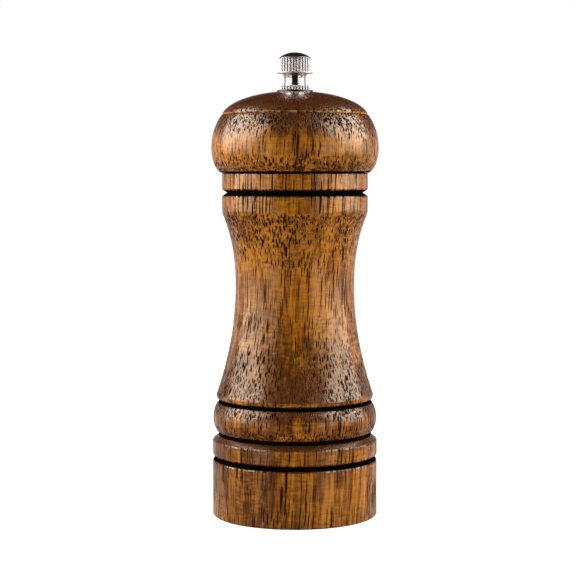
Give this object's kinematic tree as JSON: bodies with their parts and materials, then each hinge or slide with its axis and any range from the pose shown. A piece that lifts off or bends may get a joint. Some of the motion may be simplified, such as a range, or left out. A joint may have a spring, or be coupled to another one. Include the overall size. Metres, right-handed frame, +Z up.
{
  "type": "pepper mill",
  "caption": "Turned wooden pepper mill with a waisted body, a rounded cap, a knurled chrome knob and a ceramic burr mechanism.",
  "frame": {"origin": "centre of the foot, on the table", "axes": "+Z up along the turning axis, -Y towards the viewer of the front"},
  "size_m": [0.0555, 0.0554, 0.1539],
  "materials": {
    "wood_body": "brown-stained open-pored hardwood under satin lacquer",
    "wood_cap": "brown-stained open-pored hardwood under satin lacquer",
    "nylon_black": "moulded black nylon",
    "acetal_natural": "moulded natural acetal",
    "ceramic_white": "unglazed white ceramic",
    "steel_zinc": "zinc-plated steel",
    "steel_spring": "bright spring steel",
    "steel_shaft": "drawn and rolled bright steel",
    "chrome_plate": "polished chrome plate"
  },
  "bodies": {
    "mill_body": {"body": "wood_body", "mechanism_housing": "nylon_black", "housing_screws": "steel_zinc", "outer_burr": "ceramic_white", "bearing_bridge": "nylon_black"},
    "bearing_bush": {"thrust_bush": "acetal_natural", "clip_washer": "steel_zinc", "grind_spring": "steel_spring"},
    "spindle": {"drive_shaft": "steel_shaft", "shaft_clip": "steel_spring", "inner_burr": "ceramic_white", "burr_carrier": "nylon_black", "burr_washer": "steel_zinc", "burr_screw": "steel_zinc", "spring_washer": "steel_zinc"},
    "head": {"cap": "wood_cap", "drive_plate": "steel_shaft", "drive_plate_screws": "steel_zinc"},
    "washer": {"knob_washer": "steel_zinc"},
    "knob": {"top_knob": "chrome_plate"}
  },
  "joints": [
    {"name": "head_turn", "type": "hinge", "parent": "mill_body", "child": "bearing_bush", "pos_m": [0, 0, 0.0222], "axis": [0, 0, 1], "continuous": true},
    {"name": "burr_adjust", "type": "slide", "parent": "bearing_bush", "child": "spindle", "axis": [0, 0, 1], "range_m": [0, 0.0016], "deforming": ["grind_spring"]},
    {"name": "cap_lift", "type": "slide", "parent": "bearing_bush", "child": "head", "axis": [0, 0, 1], "range_m": [0, 0.06]},
    {"name": "knob_lift", "type": "slide", "parent": "head", "child": "washer", "axis": [0, 0, 1], "range_m": [0, 0.02]},
    {"name": "knob_turn", "type": "hinge", "parent": "washer", "child": "knob", "pos_m": [0, 0, 0.1415], "axis": [0, 0, 1], "range_deg": [-720, 0]}
  ],
  "couplings": [
    {"joint": "knob_turn", "follows": "burr_adjust", "rad_per_m": -7854}
  ]
}
